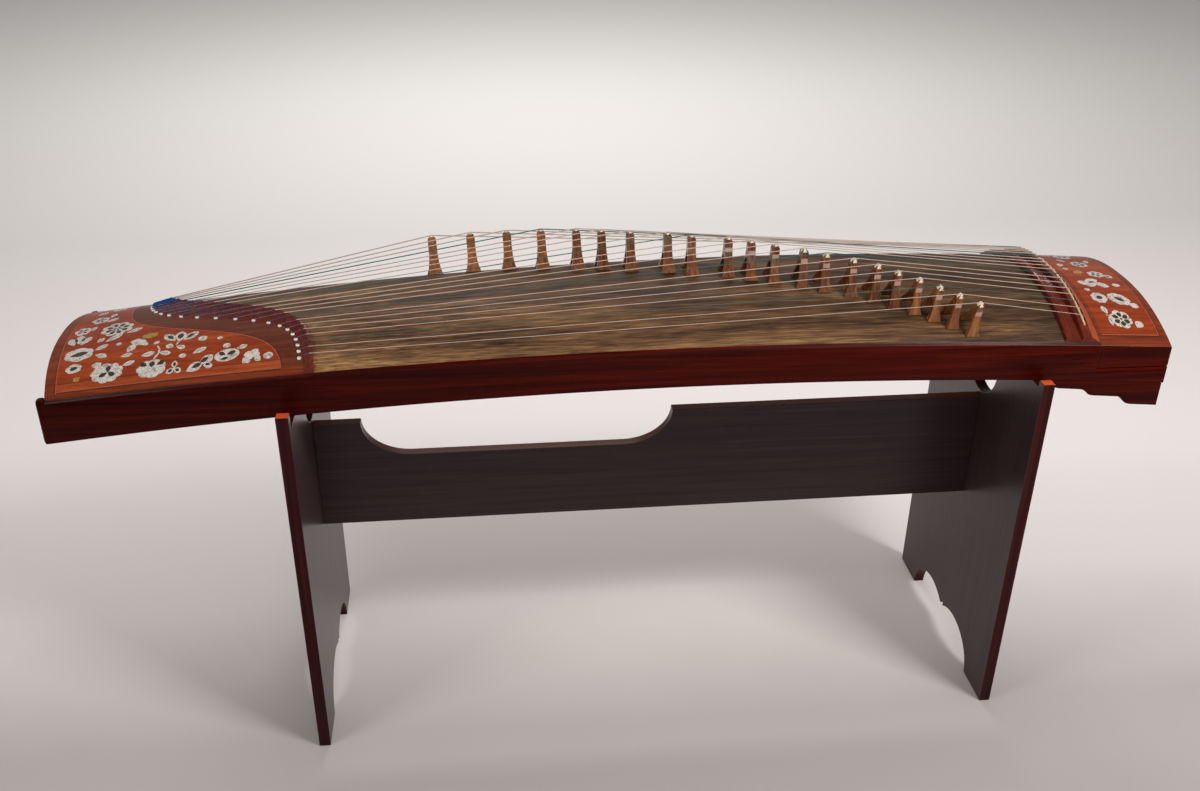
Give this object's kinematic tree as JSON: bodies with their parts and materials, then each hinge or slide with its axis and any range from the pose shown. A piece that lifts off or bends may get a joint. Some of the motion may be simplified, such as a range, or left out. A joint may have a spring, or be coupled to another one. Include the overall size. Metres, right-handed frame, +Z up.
{
  "type": "guzheng",
  "caption": "Guzheng, a long arched plucked zither with movable bridges, hinged tuning box lid and inlaid tail, resting on a board stand with lobed legs and a stretcher.",
  "frame": {"origin": "centre of the bounding box at floor level, under the feet of the stand", "axes": "+X runs along the strings towards the tuning box, +Y points away from the player, +Z is up"},
  "size_m": [1.63, 0.406, 0.7699],
  "materials": {
    "stand_boards": "satin",
    "steel": "polished",
    "dark_hardwood": "gloss lacquer",
    "scorched_softwood": "matte, scorched and brushed",
    "inner_wood": "plain",
    "inlaid_panel": "gloss, with pearly inlay",
    "red_lacquer": "gloss lacquer",
    "bone": "polished",
    "string": "smooth, nylon over steel",
    "bridge_wood": "satin"
  },
  "bodies": {
    "stand": {"stand_leg_left": "stand_boards", "stand_leg_right": "stand_boards", "stand_stretcher": "stand_boards", "stand_bolts": "steel"},
    "instrument": {"side_front": "dark_hardwood", "side_rear": "dark_hardwood", "soundboard": "scorched_softwood", "back_board": "scorched_softwood", "cross_frames": "inner_wood", "tail_panel": "inlaid_panel", "rear_nut": "dark_hardwood", "string_ferrules": "bone", "front_nut": "red_lacquer", "nut_bone": "bone", "pin_block": "inner_wood", "head_feet": "dark_hardwood", "strings": "string"},
    "lid": {"head_lid": "red_lacquer"},
    "bridge_01": {"bridge_01": "bridge_wood"},
    "bridge_02": {"bridge_02": "bridge_wood"},
    "bridge_03": {"bridge_03": "bridge_wood"},
    "bridge_04": {"bridge_04": "bridge_wood"},
    "bridge_05": {"bridge_05": "bridge_wood"},
    "bridge_06": {"bridge_06": "bridge_wood"},
    "bridge_07": {"bridge_07": "bridge_wood"},
    "bridge_08": {"bridge_08": "bridge_wood"},
    "bridge_09": {"bridge_09": "bridge_wood"},
    "bridge_10": {"bridge_10": "bridge_wood"},
    "bridge_11": {"bridge_11": "bridge_wood"},
    "bridge_12": {"bridge_12": "bridge_wood"},
    "bridge_13": {"bridge_13": "bridge_wood"},
    "bridge_14": {"bridge_14": "bridge_wood"},
    "bridge_15": {"bridge_15": "bridge_wood"},
    "bridge_16": {"bridge_16": "bridge_wood"},
    "bridge_17": {"bridge_17": "bridge_wood"},
    "bridge_18": {"bridge_18": "bridge_wood"},
    "bridge_19": {"bridge_19": "bridge_wood"},
    "bridge_20": {"bridge_20": "bridge_wood"},
    "bridge_21": {"bridge_21": "bridge_wood"},
    "pin_01": {"pin_01": "steel"},
    "pin_02": {"pin_02": "steel"},
    "pin_03": {"pin_03": "steel"},
    "pin_04": {"pin_04": "steel"},
    "pin_05": {"pin_05": "steel"},
    "pin_06": {"pin_06": "steel"},
    "pin_07": {"pin_07": "steel"},
    "pin_08": {"pin_08": "steel"},
    "pin_09": {"pin_09": "steel"},
    "pin_10": {"pin_10": "steel"},
    "pin_11": {"pin_11": "steel"},
    "pin_12": {"pin_12": "steel"},
    "pin_13": {"pin_13": "steel"},
    "pin_14": {"pin_14": "steel"},
    "pin_15": {"pin_15": "steel"},
    "pin_16": {"pin_16": "steel"},
    "pin_17": {"pin_17": "steel"},
    "pin_18": {"pin_18": "steel"},
    "pin_19": {"pin_19": "steel"},
    "pin_20": {"pin_20": "steel"},
    "pin_21": {"pin_21": "steel"}
  },
  "joints": [
    {"name": "lift_off", "type": "slide", "parent": "stand", "child": "instrument", "axis": [0, 0, 1], "range_m": [0, 0.1]},
    {"name": "lid_hinge", "type": "hinge", "parent": "instrument", "child": "lid", "pos_m": [0.81305, 0, 0.6105], "axis": [0, 1, 0], "range_deg": [0, 105]},
    {"name": "bridge_slide_01", "type": "slide", "parent": "instrument", "child": "bridge_01", "axis": [0.9995, 0, -0.03], "range_m": [-0.0029, 0.0029], "deforming": ["strings"]},
    {"name": "bridge_slide_02", "type": "slide", "parent": "instrument", "child": "bridge_02", "axis": [0.9996, 0, -0.0297], "range_m": [-0.0022, 0.0022], "deforming": ["strings"]},
    {"name": "bridge_slide_03", "type": "slide", "parent": "instrument", "child": "bridge_03", "axis": [0.9996, 0, -0.0291], "range_m": [-0.0021, 0.0021], "deforming": ["strings"]},
    {"name": "bridge_slide_04", "type": "slide", "parent": "instrument", "child": "bridge_04", "axis": [0.9996, 0, -0.0278], "range_m": [-0.0025, 0.0025], "deforming": ["strings"]},
    {"name": "bridge_slide_05", "type": "slide", "parent": "instrument", "child": "bridge_05", "axis": [0.9997, 0, -0.0259], "range_m": [-0.0024, 0.0024], "deforming": ["strings"]},
    {"name": "bridge_slide_06", "type": "slide", "parent": "instrument", "child": "bridge_06", "axis": [0.9997, 0, -0.0238], "range_m": [-0.0022, 0.0022], "deforming": ["strings"]},
    {"name": "bridge_slide_07", "type": "slide", "parent": "instrument", "child": "bridge_07", "axis": [0.9998, 0, -0.0207], "range_m": [-0.0051, 0.0051], "deforming": ["strings"]},
    {"name": "bridge_slide_08", "type": "slide", "parent": "instrument", "child": "bridge_08", "axis": [0.9999, 0, -0.0165], "range_m": [-0.004, 0.004], "deforming": ["strings"]},
    {"name": "bridge_slide_09", "type": "slide", "parent": "instrument", "child": "bridge_09", "axis": [0.9999, 0, -0.013], "range_m": [-0.0039, 0.0039], "deforming": ["strings"]},
    {"name": "bridge_slide_10", "type": "slide", "parent": "instrument", "child": "bridge_10", "axis": [1, 0, -0.0079], "range_m": [-0.0053, 0.0053], "deforming": ["strings"]},
    {"name": "bridge_slide_11", "type": "slide", "parent": "instrument", "child": "bridge_11", "axis": [1, 0, -0.0036], "range_m": [-0.0046, 0.0046], "deforming": ["strings"]},
    {"name": "bridge_slide_12", "type": "slide", "parent": "instrument", "child": "bridge_12", "axis": [1, 0, 0.0007], "range_m": [-0.0045, 0.0045], "deforming": ["strings"]},
    {"name": "bridge_slide_13", "type": "slide", "parent": "instrument", "child": "bridge_13", "axis": [1, 0, 0.008], "range_m": [-0.0054, 0.0054], "deforming": ["strings"]},
    {"name": "bridge_slide_14", "type": "slide", "parent": "instrument", "child": "bridge_14", "axis": [0.9999, 0, 0.0127], "range_m": [-0.0053, 0.0053], "deforming": ["strings"]},
    {"name": "bridge_slide_15", "type": "slide", "parent": "instrument", "child": "bridge_15", "axis": [0.9998, 0, 0.0202], "range_m": [-0.0091, 0.0091], "deforming": ["strings"]},
    {"name": "bridge_slide_16", "type": "slide", "parent": "instrument", "child": "bridge_16", "axis": [0.9997, 0, 0.026], "range_m": [-0.0065, 0.0065], "deforming": ["strings"]},
    {"name": "bridge_slide_17", "type": "slide", "parent": "instrument", "child": "bridge_17", "axis": [0.9995, 0, 0.0312], "range_m": [-0.0064, 0.0064], "deforming": ["strings"]},
    {"name": "bridge_slide_18", "type": "slide", "parent": "instrument", "child": "bridge_18", "axis": [0.9993, 0, 0.0382], "range_m": [-0.012, 0.012], "deforming": ["strings"]},
    {"name": "bridge_slide_19", "type": "slide", "parent": "instrument", "child": "bridge_19", "axis": [0.999, 0, 0.045], "range_m": [-0.012, 0.012], "deforming": ["strings"]},
    {"name": "bridge_slide_20", "type": "slide", "parent": "instrument", "child": "bridge_20", "axis": [0.9987, 0, 0.0518], "range_m": [-0.012, 0.012], "deforming": ["strings"]},
    {"name": "bridge_slide_21", "type": "slide", "parent": "instrument", "child": "bridge_21", "axis": [0.9983, 0, 0.0587], "range_m": [-0.012, 0.012], "deforming": ["strings"]},
    {"name": "pin_turn_01", "type": "hinge", "parent": "instrument", "child": "pin_01", "pos_m": [0.742, -0.135, 0.63], "axis": [0, 0, 1], "continuous": true},
    {"name": "pin_turn_02", "type": "hinge", "parent": "instrument", "child": "pin_02", "pos_m": [0.772, -0.1215, 0.63], "axis": [0, 0, 1], "continuous": true},
    {"name": "pin_turn_03", "type": "hinge", "parent": "instrument", "child": "pin_03", "pos_m": [0.742, -0.108, 0.63], "axis": [0, 0, 1], "continuous": true},
    {"name": "pin_turn_04", "type": "hinge", "parent": "instrument", "child": "pin_04", "pos_m": [0.772, -0.0945, 0.63], "axis": [0, 0, 1], "continuous": true},
    {"name": "pin_turn_05", "type": "hinge", "parent": "instrument", "child": "pin_05", "pos_m": [0.742, -0.081, 0.63], "axis": [0, 0, 1], "continuous": true},
    {"name": "pin_turn_06", "type": "hinge", "parent": "instrument", "child": "pin_06", "pos_m": [0.772, -0.0675, 0.63], "axis": [0, 0, 1], "continuous": true},
    {"name": "pin_turn_07", "type": "hinge", "parent": "instrument", "child": "pin_07", "pos_m": [0.742, -0.054, 0.63], "axis": [0, 0, 1], "continuous": true},
    {"name": "pin_turn_08", "type": "hinge", "parent": "instrument", "child": "pin_08", "pos_m": [0.772, -0.0405, 0.63], "axis": [0, 0, 1], "continuous": true},
    {"name": "pin_turn_09", "type": "hinge", "parent": "instrument", "child": "pin_09", "pos_m": [0.742, -0.027, 0.63], "axis": [0, 0, 1], "continuous": true},
    {"name": "pin_turn_10", "type": "hinge", "parent": "instrument", "child": "pin_10", "pos_m": [0.772, -0.0135, 0.63], "axis": [0, 0, 1], "continuous": true},
    {"name": "pin_turn_11", "type": "hinge", "parent": "instrument", "child": "pin_11", "pos_m": [0.742, 0, 0.63], "axis": [0, 0, 1], "continuous": true},
    {"name": "pin_turn_12", "type": "hinge", "parent": "instrument", "child": "pin_12", "pos_m": [0.772, 0.0135, 0.63], "axis": [0, 0, 1], "continuous": true},
    {"name": "pin_turn_13", "type": "hinge", "parent": "instrument", "child": "pin_13", "pos_m": [0.742, 0.027, 0.63], "axis": [0, 0, 1], "continuous": true},
    {"name": "pin_turn_14", "type": "hinge", "parent": "instrument", "child": "pin_14", "pos_m": [0.772, 0.0405, 0.63], "axis": [0, 0, 1], "continuous": true},
    {"name": "pin_turn_15", "type": "hinge", "parent": "instrument", "child": "pin_15", "pos_m": [0.742, 0.054, 0.63], "axis": [0, 0, 1], "continuous": true},
    {"name": "pin_turn_16", "type": "hinge", "parent": "instrument", "child": "pin_16", "pos_m": [0.772, 0.0675, 0.63], "axis": [0, 0, 1], "continuous": true},
    {"name": "pin_turn_17", "type": "hinge", "parent": "instrument", "child": "pin_17", "pos_m": [0.742, 0.081, 0.63], "axis": [0, 0, 1], "continuous": true},
    {"name": "pin_turn_18", "type": "hinge", "parent": "instrument", "child": "pin_18", "pos_m": [0.772, 0.0945, 0.63], "axis": [0, 0, 1], "continuous": true},
    {"name": "pin_turn_19", "type": "hinge", "parent": "instrument", "child": "pin_19", "pos_m": [0.742, 0.108, 0.63], "axis": [0, 0, 1], "continuous": true},
    {"name": "pin_turn_20", "type": "hinge", "parent": "instrument", "child": "pin_20", "pos_m": [0.772, 0.1215, 0.63], "axis": [0, 0, 1], "continuous": true},
    {"name": "pin_turn_21", "type": "hinge", "parent": "instrument", "child": "pin_21", "pos_m": [0.742, 0.135, 0.63], "axis": [0, 0, 1], "continuous": true}
  ]
}
